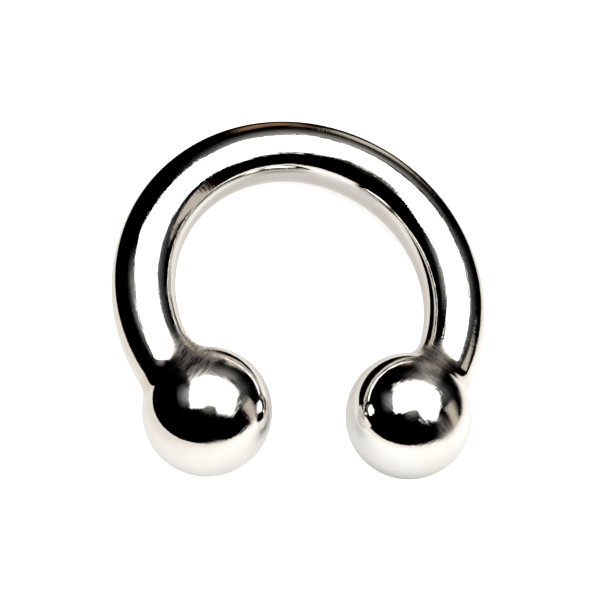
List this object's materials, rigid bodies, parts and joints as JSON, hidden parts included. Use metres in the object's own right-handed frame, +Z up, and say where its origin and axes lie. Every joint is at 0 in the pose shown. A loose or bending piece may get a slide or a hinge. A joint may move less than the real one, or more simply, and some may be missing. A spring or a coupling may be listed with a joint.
{
  "type": "open steel ring with ball ends",
  "caption": "Open ring of round polished steel bar, bent to one arc, with a larger solid ball welded through a smooth hollow neck on each end.",
  "frame": {"origin": "on the table under the middle of the ring's overall box, as it lies at rest on both balls and the far side of the bar", "axes": "+X from the left ball towards the right ball, +Y from the gap towards the far side of the ring, +Z up"},
  "size_m": [0.0612, 0.0602, 0.02],
  "materials": {
    "polished_bar": "stainless steel, buffed to a mirror, with fine polishing marks along the bar",
    "polished_ball": "stainless steel, buffed to a mirror",
    "brushed_neck": "stainless steel weld, ground hollow and hand buffed, with marks round the neck"
  },
  "bodies": {
    "root": {"bent_bar": "polished_bar", "left_ball": "polished_ball", "right_ball": "polished_ball", "left_neck_weld": "brushed_neck", "right_neck_weld": "brushed_neck"}
  },
  "joints": []
}
